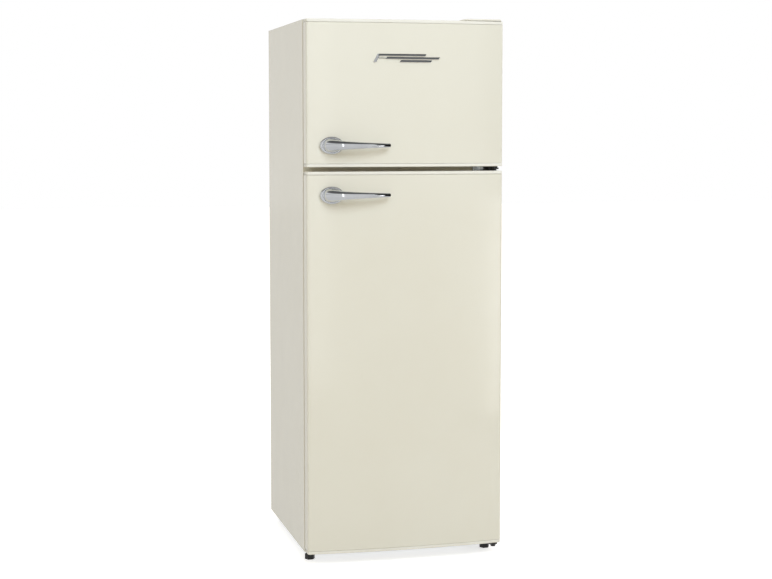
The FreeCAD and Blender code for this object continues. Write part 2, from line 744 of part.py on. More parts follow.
def oval_plate(z, half_length, half_height, y0, y1):
    curve = Part.Ellipse(V(handle_x + half_length, y0, z), V(handle_x, y0, z + half_height), V(handle_x, y0, z))
    return Part.Face(Part.Wire(curve.toShape())).extrude(V(0, y1 - y0, 0))


def handle_base(z):
    """Stepped oval base that follows the door's bow."""
    front = y_corner - 13
    wide = oval_plate(z, base_half_length, base_half_height, front, y_corner + 10)
    rim = [e for e in wide.Edges if abs(e.CenterOfMass.y - front) < 0.1]
    wide = wide.makeFillet(2.5, rim)
    step = oval_plate(z, base_half_length - 7, base_half_height - 6, front - 3, front + 1)
    rim = [e for e in step.Edges if abs(e.CenterOfMass.y - front + 3) < 0.1]
    step = step.makeFillet(1.5, rim)
    return fuse([wide, step]).cut(door_slab(0, y_door_back, z - 60, z + 60, door_corner_radius))


def handle_lever(z):
    """Cantilevered lever: a full head on the base, swept out into a tapering bar."""
    sections = [
        # x from the base's centre, forward of the corner plane, half height, half thickness
        (-12, 12, 14.0, 11.0),
        (-9, 22, 13.5, 11.5),
        (4, 33, 12.5, 10.5),
        (26, 40.5, 11.0, 8.5),
        (56, 43.4, 9.5, 6.6),
        (96, 42.5, 7.2, 5.2),
        (130, 38, 5.6, 4.2),
        (148, 33.5, 4.8, 3.6),
        (152.5, 32.1, 3.4, 2.6),
        (154, 31.6, 1.2, 0.9),
    ]
    wires = []
    for i, (dx, out, half_up, half_across) in enumerate(sections):
        before = sections[max(i - 1, 0)]
        after = sections[min(i + 1, len(sections) - 1)]
        tangent = V(after[0] - before[0], before[1] - after[1], 0).normalize()
        if i == 0:
            tangent = V(0.1, -1, 0).normalize()
        wires.append(ellipse_wire(V(handle_x + dx, y_corner - out, z), tangent, half_up, half_across))
    return Part.makeLoft(wires, True, False).cut(handle_base(z))


def badge():
    """Plain ornament on the freezer door: three slanted speed bars."""
    z = 1354.0
    slant = 9.0
    depth = 2.5
    shell = door_slab(-depth, y_door_back, z - 40, z + 40).cut(
        door_slab(-0.03, y_door_back + 1, z - 41, z + 41, door_corner_radius))
    bars = []
    for x0, x1, low in ((-81, 48, 5.5), (-60, 85.5, -2.5), (-22, 64, -10.5)):
        outline = [V(x0, y_corner - 40, z + low), V(x1, y_corner - 40, z + low),
                   V(x1 + slant / 2, y_corner - 40, z + low + 5), V(x0 + slant / 2, y_corner - 40, z + low + 5)]
        bars.append(prism(outline, axis_y, 60).common(shell))
    tail = [V(-93, y_corner - 40, z - 10.5), V(-85, y_corner - 40, z - 10.5),
            V(-73, y_corner - 40, z + 10.5), V(-81, y_corner - 40, z + 10.5)]
    keel = box(-85, 87, bow_y(0) - 0.6, y_corner, z - 10.5, z + 10.5).common(shell)
    bars.append(prism(tail, axis_y, 60).common(shell).cut(bars[0]))
    return fuse(bars + [keel])


def door_bin(half_outside, z0, z1, depth):
    """Clear bin between a door's upright rims."""
    half = half_outside - rim_width - 1
    y0 = y_door_back + 1.2 + 0.3
    return open_bin(-half, half, y0, y0 + depth, z0, z1, 2.2, 9)


fridge_rim_half = 212.0
freezer_rim_half = 202.0
bin_depth = 92.0


def build_door(name, z0, z1, rim_half, rim_low, rim_high, handle_z):
    top = door_cap(z1, -1)
    bottom = door_cap(z0, 1)
    save(name + "_door_skin", door_skin(z0, z1))
    save(name + "_door_top_cap", top)
    save(name + "_door_bottom_cap", bottom)
    save(name + "_door_foam", door_foam(z0, z1, rim_half, rim_low, rim_high, [top, bottom]))
    save(name + "_door_liner", door_liner(z0, z1, rim_half, rim_low, rim_high))
    save(name + "_door_gasket", door_gasket(z0, z1))
    save(name + "_handle_base", handle_base(handle_z))
    save(name + "_handle_lever", handle_lever(handle_z))


# ---------------------------------------------------------------- write every sub-part
for side_name, side in (("left", -1), ("right", 1)):
    save("side_panel_" + side_name, side_panel(side))
    save("front_foot_" + side_name, front_foot(side))
    save("rear_roller_" + side_name, rear_roller(side))
save("top_panel", top_panel())
save("back_panel", back_panel())
save("base_plate", base_plate())
save("compressor_tray", compressor_tray())
save("cabinet_foam", cabinet_foam())
save("mid_rail", mid_rail())
save("fridge_liner", liner(fridge_cavity, cabinet_bottom + 20, rail_bottom, fridge_half_width,
                           shelf_levels + (crisper_cover_level,), fridge_y_rear))
save("freezer_liner", liner(freezer_cavity, rail_top, cabinet_top - 20, freezer_half_width,
                            (freezer_shelf_level,), freezer_y_rear))
save("evaporator_plate", evaporator_plate())
save("freezer_shelf", freezer_shelf())
for shelf_name, level in zip(("lower", "middle", "upper"), shelf_levels):
    save("fridge_shelf_" + shelf_name, glass_shelf(level, fridge_y_rear - 14))
save("crisper_cover", glass_shelf(crisper_cover_level, fridge_y_rear - 14))
save("shelf_trims", shelf_trims())
save("crisper_drawer", crisper_drawer())
save("thermostat_housing", thermostat_housing())
save("lamp_lens", lamp_lens())
save("thermostat_knob", thermostat_knob())
save("light_switch_plunger", light_switch_plunger())
save("top_hinge_bracket", top_hinge_bracket())
save("top_hinge_cover", top_hinge_cover())
save("middle_hinge_bracket", middle_hinge_bracket())
save("bottom_hinge_bracket", bottom_hinge_bracket())
save("hinge_screws", hinge_screws())
save("compressor", compressor())
save("compressor_grommets", compressor_grommets())
save("starter_box", starter_box())
save("filter_drier", filter_drier())
save("refrigerant_pipes", refrigerant_pipes())
save("condenser", condenser())
save("drip_tray", drip_tray())
save("cord_inlet", cord_inlet())
build_door("freezer", freezer_door_bottom, freezer_door_top, freezer_rim_half,
           freezer_floor + 13, freezer_ceiling - 13, 1124.0)
build_door("fridge", fridge_door_bottom, fridge_door_top, fridge_rim_half,
           fridge_floor + 13, fridge_ceiling - 15, 993.0)
save("badge", badge())
save("freezer_door_bin", door_bin(freezer_rim_half, 1150, 1215, 60))
save("fridge_bin_lower", door_bin(fridge_rim_half, 112, 232, bin_depth))
save("fridge_bin_middle", door_bin(fridge_rim_half, 480, 556, bin_depth))
save("fridge_bin_upper", door_bin(fridge_rim_half, 760, 836, bin_depth))
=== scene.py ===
import json
from math import asin, copysign, cos, pi, radians, sin, sqrt

import bmesh
import bpy
from mathutils import Matrix, Vector


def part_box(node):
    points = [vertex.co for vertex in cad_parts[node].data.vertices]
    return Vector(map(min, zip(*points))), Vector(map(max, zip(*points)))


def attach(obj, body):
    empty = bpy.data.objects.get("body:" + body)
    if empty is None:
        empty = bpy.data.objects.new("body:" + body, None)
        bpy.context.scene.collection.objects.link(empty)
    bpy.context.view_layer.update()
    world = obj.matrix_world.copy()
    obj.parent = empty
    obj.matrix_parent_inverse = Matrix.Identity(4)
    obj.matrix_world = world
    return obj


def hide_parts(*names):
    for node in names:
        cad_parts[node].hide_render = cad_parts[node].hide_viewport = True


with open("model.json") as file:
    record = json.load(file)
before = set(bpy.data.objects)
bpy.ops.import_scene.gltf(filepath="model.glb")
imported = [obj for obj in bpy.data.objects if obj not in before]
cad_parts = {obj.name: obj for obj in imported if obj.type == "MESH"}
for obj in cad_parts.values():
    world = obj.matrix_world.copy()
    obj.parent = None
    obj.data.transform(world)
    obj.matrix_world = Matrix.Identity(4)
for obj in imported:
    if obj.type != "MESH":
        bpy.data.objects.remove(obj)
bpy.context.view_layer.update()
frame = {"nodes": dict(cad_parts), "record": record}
nodes = frame["nodes"]
scene = bpy.context.scene
print("frame loaded:", len(nodes), "CAD nodes")


# three-quarter view from the left of the doors
cameraSetup = {
    "place": (-1.1020, -4.3762, 1.1595),
    "turn": (85.711, 0.0, -14.290),      # degrees
    "lens": 74.357,
    "sensor": 36.0,
    "shiftY": -0.0492,
    "farClip": 60.0,
}
cameraData = bpy.data.cameras.new("studioCamera")
cameraData.lens = cameraSetup["lens"]
cameraData.sensor_width = cameraSetup["sensor"]
cameraData.sensor_fit = "HORIZONTAL"
cameraData.shift_y = cameraSetup["shiftY"]
cameraData.clip_end = cameraSetup["farClip"]
studioCamera = bpy.data.objects.new("studioCamera", cameraData)
studioCamera.location = cameraSetup["place"]
studioCamera.rotation_euler = [radians(angle) for angle in cameraSetup["turn"]]
scene.collection.objects.link(studioCamera)
scene.camera = studioCamera
scene.view_settings.view_transform = "Standard"


# ---- shader groups that several finishes share
# noise keeps near its middle, so these spans of it are stretched to the full range
noiseSpan = {
    "tone": (0.30, 0.70),
    "gloss": (0.30, 0.72),
    "wear": (0.42, 0.62),
    "dust": (0.25, 0.70),
}
edgeSpan = (0.53, 0.62)        # pointiness where an edge starts to wear, and where it is worn most
dustLayer = {"tilt": (0.35, 0.95), "thinnest": 0.35, "scale": 24.0, "tone": (196, 190, 178)}


def newGroup(name, inputs, outputs):
    # inputs: label, kind, default; outputs: label, kind
    group = bpy.data.node_groups.new(name, "ShaderNodeTree")
    for label, kind, value in inputs:
        socket = group.interface.new_socket(label, in_out="INPUT", socket_type="NodeSocket" + kind)
        if kind == "Color":
            socket.default_value = (*value, 1.0)
        elif kind == "Float":
            socket.default_value = value
    for label, kind in outputs:
        group.interface.new_socket(label, in_out="OUTPUT", socket_type="NodeSocket" + kind)
    enter = group.nodes.new("NodeGroupInput")
    leave = group.nodes.new("NodeGroupOutput")
    return group, enter.outputs, leave.inputs


def addNode(tree, kind, wires=None, **settings):
    # wires: input name -> a socket to join, or a plain value
    node = tree.nodes.new("ShaderNode" + kind)
    for key, value in settings.items():
        setattr(node, key, value)
    for key, value in (wires or {}).items():
        if isinstance(value, bpy.types.NodeSocket):
            tree.links.new(value, node.inputs[key])
        else:
            node.inputs[key].default_value = value
    return node


def mixTones(tree, factor, first, second):
    node = tree.nodes.new("ShaderNodeMix")
    node.data_type = "RGBA"
    factorIn, firstIn, secondIn, toneOut = node.inputs[0], node.inputs[6], node.inputs[7], node.outputs[2]
    for socket, value in ((factorIn, factor), (firstIn, first), (secondIn, second)):
        if isinstance(value, bpy.types.NodeSocket):
            tree.links.new(value, socket)
        else:
            socket.default_value = value
    return toneOut


def noiseAt(tree, vector, scale, detail=2.0, roughness=0.5):
    # cloudy value between about 0.25 and 0.75
    return addNode(tree, "TexNoise", {"Vector": vector, "Scale": scale, "Detail": detail,
                                      "Roughness": roughness}).outputs[0]


def spread(tree, value, low, high, toLow=0.0, toHigh=1.0):
    return addNode(tree, "MapRange", {"Value": value, "From Min": low, "From Max": high,
                                      "To Min": toLow, "To Max": toHigh}).outputs[0]


def times(tree, first, second):
    node = addNode(tree, "Math", {0: first, 1: second}, operation="MULTIPLY")
    return node.outputs[0]


def buildToneDrift():
    # slow drift between two tones, as in old paint and moulded plastic
    group, given, put = newGroup("toneDrift", [("Vector", "Vector", 0), ("Scale", "Float", 3.0),
                                               ("Light Tone", "Color", (1, 1, 1)),
                                               ("Dark Tone", "Color", (0, 0, 0))], [("Tone", "Color")])
    cloud = noiseAt(group, given["Vector"], given["Scale"], 5.0, 0.6)
    blend = spread(group, cloud, *noiseSpan["tone"])
    group.links.new(mixTones(group, blend, given["Dark Tone"], given["Light Tone"]), put["Tone"])
    return group


def buildGlossDrift():
    # hands and cloths leave a surface unevenly shiny
    group, given, put = newGroup("glossDrift", [("Vector", "Vector", 0), ("Scale", "Float", 8.0),
                                                ("Low", "Float", 0.2), ("High", "Float", 0.4)],
                                 [("Roughness", "Float")])
    smear = noiseAt(group, given["Vector"], given["Scale"], 6.0, 0.62)
    group.links.new(spread(group, smear, *noiseSpan["gloss"], given["Low"], given["High"]), put["Roughness"])
    return group


def buildSurfaceGrain():
    # slow waves of a thin sheet or wall, with the fine texture of its skin on top
    group, given, put = newGroup("surfaceGrain", [("Vector", "Vector", 0), ("Wave Scale", "Float", 12.0),
                                                  ("Fine Scale", "Float", 400.0),
                                                  ("Wave Share", "Float", 0.8)], [("Height", "Float")])
    wave = noiseAt(group, given["Vector"], given["Wave Scale"], 1.0)
    fine = noiseAt(group, given["Vector"], given["Fine Scale"], 3.0)
    rest = addNode(group, "Math", {0: 1.0, 1: given["Wave Share"]}, operation="SUBTRACT").outputs[0]
    total = addNode(group, "Math", {0: times(group, wave, given["Wave Share"]),
                                    1: times(group, fine, rest)}, operation="ADD").outputs[0]
    group.links.new(total, put["Height"])
    return group


def buildSpangle():
    # crystals of hot-dipped zinc
    group, given, put = newGroup("spangle", [("Vector", "Vector", 0), ("Scale", "Float", 60.0),
                                             ("Light Tone", "Color", (1, 1, 1)),
                                             ("Dark Tone", "Color", (0, 0, 0))],
                                 [("Tone", "Color"), ("Mask", "Float")])
    crystal = addNode(group, "TexVoronoi", {"Vector": given["Vector"], "Scale": given["Scale"]})
    pick = addNode(group, "SeparateColor", {"Color": crystal.outputs["Color"]}).outputs[0]
    group.links.new(mixTones(group, pick, given["Dark Tone"], given["Light Tone"]), put["Tone"])
    group.links.new(pick, put["Mask"])
    return group


def buildEdgeWear():
    # outer edges rubbed paler, broken up by noise
    group, given, put = newGroup("edgeWear", [("Tone", "Color", (1, 1, 1)), ("Vector", "Vector", 0),
                                              ("Edge", "Float", 0.5), ("Scale", "Float", 60.0),
                                              ("Bare Tone", "Color", (1, 1, 1)),
                                              ("Amount", "Float", 0.5)],
                                 [("Tone", "Color"), ("Mask", "Float")])
    ridge = spread(group, given["Edge"], *edgeSpan)
    broken = spread(group, noiseAt(group, given["Vector"], given["Scale"], 4.0, 0.7), *noiseSpan["wear"])
    mask = times(group, times(group, ridge, broken), given["Amount"])
    group.links.new(mixTones(group, mask, given["Tone"], given["Bare Tone"]), put["Tone"])
    group.links.new(mask, put["Mask"])
    return group


def buildDustFilm():
    # dust that lies on what faces up
    group, given, put = newGroup("dustFilm", [("Tone", "Color", (1, 1, 1)), ("Vector", "Vector", 0),
                                              ("Up", "Float", 0.0), ("Dust Tone", "Color", (1, 1, 1)),
                                              ("Amount", "Float", 0.4)],
                                 [("Tone", "Color"), ("Mask", "Float")])
    lying = spread(group, given["Up"], *dustLayer["tilt"])
    cloud = noiseAt(group, given["Vector"], dustLayer["scale"], 5.0, 0.6)
    patchy = spread(group, cloud, *noiseSpan["dust"], dustLayer["thinnest"], 1.0)
    mask = times(group, times(group, lying, patchy), given["Amount"])
    group.links.new(mixTones(group, mask, given["Tone"], given["Dust Tone"]), put["Tone"])
    group.links.new(mask, put["Mask"])
    return group


shared = {
    "toneDrift": buildToneDrift(),
    "glossDrift": buildGlossDrift(),
    "surfaceGrain": buildSurfaceGrain(),
    "spangle": buildSpangle(),
    "edgeWear": buildEdgeWear(),
    "dustFilm": buildDustFilm(),
}
print("shader groups:", len(shared))


def toLinear(tone):
    # a tone is given as 0-255 display values
    return tuple(((c / 255 + 0.055) / 1.055) ** 2.4 if c > 10 else c / 255 / 12.92 for c in tone) + (1.0,)


# light and dark are tones, gloss is the range of roughness, grain is wave scale, fine scale, wave share
# and depth in metres, coat is weight and roughness, clear is weight and IOR, wear is bare tone, amount
# and scale; a key is left out where the finish has none of it
finishes = {
    "cream_enamel": {"light": (233, 230, 213), "dark": (230, 226, 207), "toneScale": 1.6,
                     "gloss": (0.22, 0.27), "glossScale": 7.0, "grain": (9.0, 420.0, 0.93, 0.00005),
                     "coat": (0.5, 0.08), "dust": 0.04},
    "cream_plastic": {"light": (241, 239, 226), "dark": (237, 234, 219), "toneScale": 6.0,
                      "gloss": (0.34, 0.44), "glossScale": 20.0, "grain": (30.0, 700.0, 0.5, 0.00006),
                      "dust": 0.05},
    "back_sheet": {"light": (176, 178, 178), "dark": (150, 153, 155), "toneScale": 4.0, "metal": 0.35,
                   "gloss": (0.42, 0.58), "glossScale": 10.0, "grain": (7.0, 300.0, 0.92, 0.0005),
                   "spangle": 55.0, "dust": 0.2},
    "galvanised_steel": {"light": (186, 190, 194), "dark": (138, 143, 148), "toneScale": 12.0, "metal": 0.9,
                         "gloss": (0.34, 0.52), "glossScale": 30.0, "grain": (20.0, 500.0, 0.8, 0.0002),
                         "spangle": 85.0, "dust": 0.3},
    "foam": {"light": (226, 208, 150), "dark": (204, 182, 120), "toneScale": 14.0, "gloss": (0.85, 0.95),
             "glossScale": 30.0, "grain": (60.0, 600.0, 0.5, 0.001)},
    "white_liner": {"light": (238, 239, 236), "dark": (234, 235, 231), "toneScale": 2.5,
                    "gloss": (0.26, 0.32), "glossScale": 9.0, "grain": (14.0, 260.0, 0.85, 0.00008),
                    "coat": (0.15, 0.15)},
    # the rail between the doors is cream paint like the enamel, but its tone is set a little lighter than the
    # enamel's: painted light that lifts the shade in the deep gap between the doors
    "dark_rail": {"light": (241, 234, 213), "dark": (236, 228, 206), "toneScale": 20.0, "gloss": (0.4, 0.6),
                  "glossScale": 40.0, "grain": (40.0, 500.0, 0.5, 0.0001), "dust": 0.15},
    "black_steel": {"light": (40, 40, 41), "dark": (22, 22, 23), "toneScale": 25.0, "gloss": (0.28, 0.46),
                    "glossScale": 30.0, "grain": (60.0, 650.0, 0.55, 0.00012), "coat": (0.2, 0.2),
                    "wear": ((128, 126, 122), 0.5, 90.0), "dust": 0.28},
    "zinc_steel": {"light": (206, 206, 200), "dark": (160, 166, 172), "toneScale": 60.0, "metal": 1.0,
                   "gloss": (0.2, 0.42), "glossScale": 90.0, "grain": (80.0, 900.0, 0.4, 0.00004)},
    "aluminium_plate": {"light": (212, 215, 216), "dark": (184, 188, 190), "toneScale": 8.0, "metal": 1.0,
                        "gloss": (0.3, 0.5), "glossScale": 12.0, "grain": (16.0, 500.0, 0.7, 0.00015),
                        "stretch": (1.0, 1.0, 0.06)},
    "white_wire": {"light": (240, 240, 237), "dark": (226, 226, 221), "toneScale": 20.0,
                   "gloss": (0.25, 0.38), "glossScale": 30.0, "grain": (60.0, 400.0, 0.7, 0.0001),
                   "coat": (0.3, 0.1)},
    "shelf_glass": {"light": (244, 250, 247), "dark": (232, 244, 239), "toneScale": 3.0, "clear": (1.0, 1.52),
                    "gloss": (0.01, 0.06), "glossScale": 9.0, "grain": (5.0, 60.0, 0.9, 0.00003)},
    "white_trim": {"light": (232, 233, 229), "dark": (219, 220, 215), "toneScale": 9.0, "gloss": (0.32, 0.46),
                   "glossScale": 20.0, "grain": (50.0, 800.0, 0.4, 0.00006), "dust": 0.06},
    "clear_plastic": {"light": (251, 253, 253), "dark": (245, 249, 250), "toneScale": 5.0,
                      "clear": (0.96, 1.49), "gloss": (0.05, 0.17), "glossScale": 16.0,
                      "grain": (18.0, 240.0, 0.8, 0.00025)},
    "black_plastic": {"light": (36, 36, 37), "dark": (20, 20, 21), "toneScale": 30.0, "gloss": (0.36, 0.56),
                      "glossScale": 50.0, "grain": (90.0, 1200.0, 0.3, 0.0001),
                      "wear": ((100, 100, 102), 0.3, 160.0), "dust": 0.08},
    "black_rubber": {"light": (42, 41, 40), "dark": (26, 26, 25), "toneScale": 40.0, "gloss": (0.6, 0.8),
                     "glossScale": 60.0, "grain": (120.0, 1500.0, 0.3, 0.00012), "dust": 0.3},
    "gasket_rubber": {"light": (206, 203, 193), "dark": (188, 184, 172), "toneScale": 12.0,
                      "gloss": (0.45, 0.6), "glossScale": 30.0, "grain": (70.0, 900.0, 0.6, 0.0001)},
    "copper": {"light": (214, 138, 98), "dark": (128, 84, 62), "toneScale": 26.0, "metal": 1.0,
               "gloss": (0.22, 0.5), "glossScale": 50.0, "grain": (70.0, 700.0, 0.5, 0.00006)},
    "handle_chrome": {"light": (226, 228, 230), "dark": (212, 214, 217), "toneScale": 20.0, "metal": 1.0,
                      "gloss": (0.05, 0.10), "glossScale": 45.0, "grain": (30.0, 500.0, 0.9, 0.00002)},
}
spangleShare = 0.5             # how far the zinc crystals show through the tone drift


def makeFinish(name, look):
    material = bpy.data.materials.new(name + "_finish")
    material.use_nodes = True
    tree = material.node_tree
    shader = tree.nodes["Principled BSDF"]

    def place(groupName, wires):
        node = tree.nodes.new("ShaderNodeGroup")
        node.node_tree = shared[groupName]
        for key, value in wires.items():
            if isinstance(value, bpy.types.NodeSocket):
                tree.links.new(value, node.inputs[key])
            else:
                node.inputs[key].default_value = value
        return node.outputs

    here = tree.nodes.new("ShaderNodeTexCoord").outputs["Object"]
    stretched = addNode(tree, "Mapping", {"Vector": here, "Scale": look.get("stretch", (1, 1, 1))})
    vector = stretched.outputs["Vector"]
    surface = tree.nodes.new("ShaderNodeNewGeometry").outputs
    light, dark = toLinear(look["light"]), toLinear(look["dark"])
    tone = place("toneDrift", {"Vector": vector, "Scale": look["toneScale"],
                               "Light Tone": light, "Dark Tone": dark})["Tone"]
    if "spangle" in look:
        crystals = place("spangle", {"Vector": vector, "Scale": look["spangle"],
                                     "Light Tone": light, "Dark Tone": dark})["Tone"]
        tone = mixTones(tree, spangleShare, tone, crystals)
    if "wear" in look:
        bare, amount, scale = look["wear"]
        tone = place("edgeWear", {"Tone": tone, "Vector": vector, "Edge": surface["Pointiness"],
                                  "Scale": scale, "Bare Tone": toLinear(bare), "Amount": amount})["Tone"]
    if "dust" in look:
        up = addNode(tree, "SeparateXYZ", {"Vector": surface["Normal"]}).outputs["Z"]
        tone = place("dustFilm", {"Tone": tone, "Vector": vector, "Up": up,
                                  "Dust Tone": toLinear(dustLayer["tone"]), "Amount": look["dust"]})["Tone"]
    tree.links.new(tone, shader.inputs["Base Color"])
    low, high = look["gloss"]
    rough = place("glossDrift", {"Vector": vector, "Scale": look["glossScale"], "Low": low, "High": high})
    tree.links.new(rough["Roughness"], shader.inputs["Roughness"])
    waveScale, fineScale, waveShare, depth = look["grain"]
    height = place("surfaceGrain", {"Vector": vector, "Wave Scale": waveScale, "Fine Scale": fineScale,
                                    "Wave Share": waveShare})["Height"]
    bump = addNode(tree, "Bump", {"Height": height, "Distance": depth, "Strength": 1.0})
    tree.links.new(bump.outputs["Normal"], shader.inputs["Normal"])
    shader.inputs["Metallic"].default_value = look.get("metal", 0.0)
    pairs = (("coat", "Coat Weight", "Coat Roughness"),
             ("clear", "Transmission Weight", "IOR"))
    for key, first, second in pairs:
        if key in look:
            shader.inputs[first].default_value, shader.inputs[second].default_value = look[key]
    return material


finishOf = {name: makeFinish(name, look) for name, look in finishes.items()}
for part in frame["record"]["subparts"]:
    nodes[part["node"]].material_slots[0].material = finishOf[part["material_slot"]]
print("finishes:", len(finishOf))


# ---- tools for the new pieces
tiny = 1e-6                    # metres, for telling places apart


def pointsOf(geometry):
    return [g for g in geometry if isinstance(g, bmesh.types.BMVert)]


def edgesOf(geometry):
    return [g for g in geometry if isinstance(g, bmesh.types.BMEdge)]


def bevelEdges(bm, edges, size, segments=3):
    return bmesh.ops.bevel(bm, geom=list(edges), offset=size, offset_type="OFFSET", segments=segments,
                           profile=0.5, affect="EDGES", material=-1, clamp_overlap=True)


def roundOver(bm, lid, size, way, steps):
    # rounds the outline of a flat lid that faces up (way 1) or down (way -1)
    for step in range(steps):
        before, after = (pi / 2 * (step + k) / steps for k in (0, 1))
        bmesh.ops.inset_region(bm, faces=[lid], thickness=size * (cos(before) - cos(after)),
                               use_even_offset=True, use_boundary=True)
        rise = way * size * (sin(after) - sin(before))
        bmesh.ops.translate(bm, verts=lid.verts[:], vec=(0, 0, rise))


def finishPiece(bm, name, body, slotName, replaced, flip=True, even=True):
    bmesh.ops.remove_doubles(bm, verts=bm.verts, dist=tiny)
    if flip:
        bmesh.ops.recalc_face_normals(bm, faces=bm.faces)
    for face in bm.faces:
        face.smooth = True
    mesh = bpy.data.meshes.new(name)
    bm.to_mesh(mesh)
    bm.free()
    piece = bpy.data.objects.new(name, mesh)
    scene.collection.objects.link(piece)
    mesh.materials.append(finishOf[slotName])
    if even:
        weigh = piece.modifiers.new("evenShading", "WEIGHTED_NORMAL")
        weigh.keep_sharp = True
    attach(piece, body)
    if replaced:
        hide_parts(*replaced)
    return piece


# ---- door skins and end caps
door = {
    "halfWidth": 0.270,
    "cornerY": -0.266,        # where the bow meets the door's sides
    "bowRadius": 2.6106,
    "bowCentreY": 2.3306,
    "bowSteps": 60,
    "backY": -0.225,
    "cornerBevel": 0.0046,
    "cornerSteps": 6,
    "sheet": 0.0010,
    "returnWidth": 0.014,     # the skin's edge folded in behind the door
    "returnBevel": 0.0012,
    "capHeight": 0.009,
    "capRim": 0.0019,         # rounding of the cap's outer edge
    "rimSteps": 5,
    "capSeam": 0.0021,        # rounding where the cap meets the skin
    "seamSteps": 2,
}


def bowY(x):
    return door["bowCentreY"] - sqrt(door["bowRadius"] ** 2 - x * x)


def bowedWrap(bm, low, high):
    # bowed front with its sides turned back, open behind, above and below
    ends = [bm.verts.new((-door["halfWidth"], door["cornerY"], z)) for z in (low, high)]
    leftEdge = bm.edges.new(ends)
    swing = 2 * asin(door["halfWidth"] / door["bowRadius"])
    turned = bmesh.ops.spin(bm, geom=ends + [leftEdge], cent=(0, door["bowCentreY"], 0), axis=(0, 0, 1),
                            angle=swing, steps=door["bowSteps"])
    rightEdge = edgesOf(turned["geom_last"])[0]
    backEdges = []
    for corner in (leftEdge, rightEdge):
        grown = bmesh.ops.extrude_edge_only(bm, edges=[corner])["geom"]
        for point in pointsOf(grown):
            point.co.y = door["backY"]
        backEdges += edgesOf(grown)
    backEdges = [e for e in backEdges if all(abs(v.co.y - door["backY"]) < tiny for v in e.verts)]
    bevelEdges(bm, [leftEdge, rightEdge], door["cornerBevel"], door["cornerSteps"])
    return backEdges


def buildDoorSkin(name, body, node):
    low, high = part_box(node)
    bm = bmesh.new()
    backEdges = bowedWrap(bm, low.z, high.z)
    for backEdge in backEdges:
        inward = -1 if backEdge.verts[0].co.x > 0 else 1
        grown = bmesh.ops.extrude_edge_only(bm, edges=[backEdge])["geom"]
        bmesh.ops.translate(bm, verts=pointsOf(grown), vec=(inward * door["returnWidth"], 0, 0))
    bevelEdges(bm, backEdges, door["returnBevel"])
    bmesh.ops.recalc_face_normals(bm, faces=bm.faces)
    front = min(bm.faces, key=lambda f: f.calc_center_median().y)
    if front.normal.y > 0:
        bmesh.ops.reverse_faces(bm, faces=bm.faces)
    piece = finishPiece(bm, name, body, "cream_enamel", [node], flip=False)
    wall = piece.modifiers.new("sheetWall", "SOLIDIFY")
    wall.thickness = door["sheet"]
    wall.offset = -1.0
    piece.modifiers.move(1, 0)
    return piece


def buildDoorCap(name, body, node, outward):
    low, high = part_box(node)
    outer = high.z if outward > 0 else low.z
    inner = outer - outward * door["capHeight"]
    bm = bmesh.new()
    rimStart, seamStart = outer - outward * door["capRim"], inner + outward * door["capSeam"]
    backEdges = bowedWrap(bm, min(rimStart, seamStart), max(rimStart, seamStart))
    bmesh.ops.contextual_create(bm, geom=backEdges)
    bmesh.ops.holes_fill(bm, edges=bm.edges, sides=0)
    bmesh.ops.recalc_face_normals(bm, faces=bm.faces)
    rounded = ((rimStart, door["capRim"], outward, door["rimSteps"]),
               (seamStart, door["capSeam"], -outward, door["seamSteps"]))
    for level, size, way, steps in rounded:
        lid = min(bm.faces, key=lambda f: abs(f.calc_center_median().z - level) - f.calc_area())
        roundOver(bm, lid, size, way, steps)
    return finishPiece(bm, name, body, "cream_plastic", [node])


# ---- lever handles
handle = {
    "x": -0.204,
    "baseAspect": 33 / 24,
    # radius across the height, and y, from the skin to the middle of the boss
    "baseProfile": [(0.0234, -0.2660), (0.0234, -0.2752), (0.0231, -0.2766), (0.0224, -0.2778),
                    (0.0213, -0.2787), (0.0200, -0.2790), (0.0190, -0.2787), (0.0184, -0.2780),
                    (0.0180, -0.2788), (0.0174, -0.2802), (0.0164, -0.2814), (0.0150, -0.2820),
                    (0.0110, -0.2828), (0.0, -0.2834)],
    "baseSteps": 72,
    # along x from the base, forward of the door's corner, half height, half thickness
    "leverSections": [(-0.0100, 0.0120, 0.0172, 0.0132), (-0.0085, 0.0200, 0.0168, 0.0130),
                      (-0.0010, 0.0295, 0.0156, 0.0120), (0.0130, 0.0370, 0.0136, 0.0104),
                      (0.0300, 0.0412, 0.0115, 0.0084), (0.0560, 0.0432, 0.0096, 0.0066),
                      (0.0960, 0.0422, 0.0075, 0.0052), (0.1300, 0.0376, 0.0061, 0.0044),
                      (0.1490, 0.0329, 0.0054, 0.0039), (0.1525, 0.0318, 0.0044, 0.0032),
                      (0.1542, 0.0313, 0.0022, 0.0016)],
    "perSpan": 5,
    "leverSides": 32,
}


def smoothSections(sections, perSpan):
    # Catmull-Rom between the given rows
    smooth = []
    for i in range(len(sections) - 1):
        before = sections[max(i - 1, 0)]
        after = sections[min(i + 2, len(sections) - 1)]
        for step in range(perSpan):
            t = step / perSpan
            row = [0.5 * (2 * b + (c - a) * t + (2 * a - 5 * b + 4 * c - d) * t * t
                          + (3 * b - a - 3 * c + d) * t ** 3)
                   for a, b, c, d in zip(before, sections[i], sections[i + 1], after)]
            smooth.append(row)
    return smooth + [list(sections[-1])]


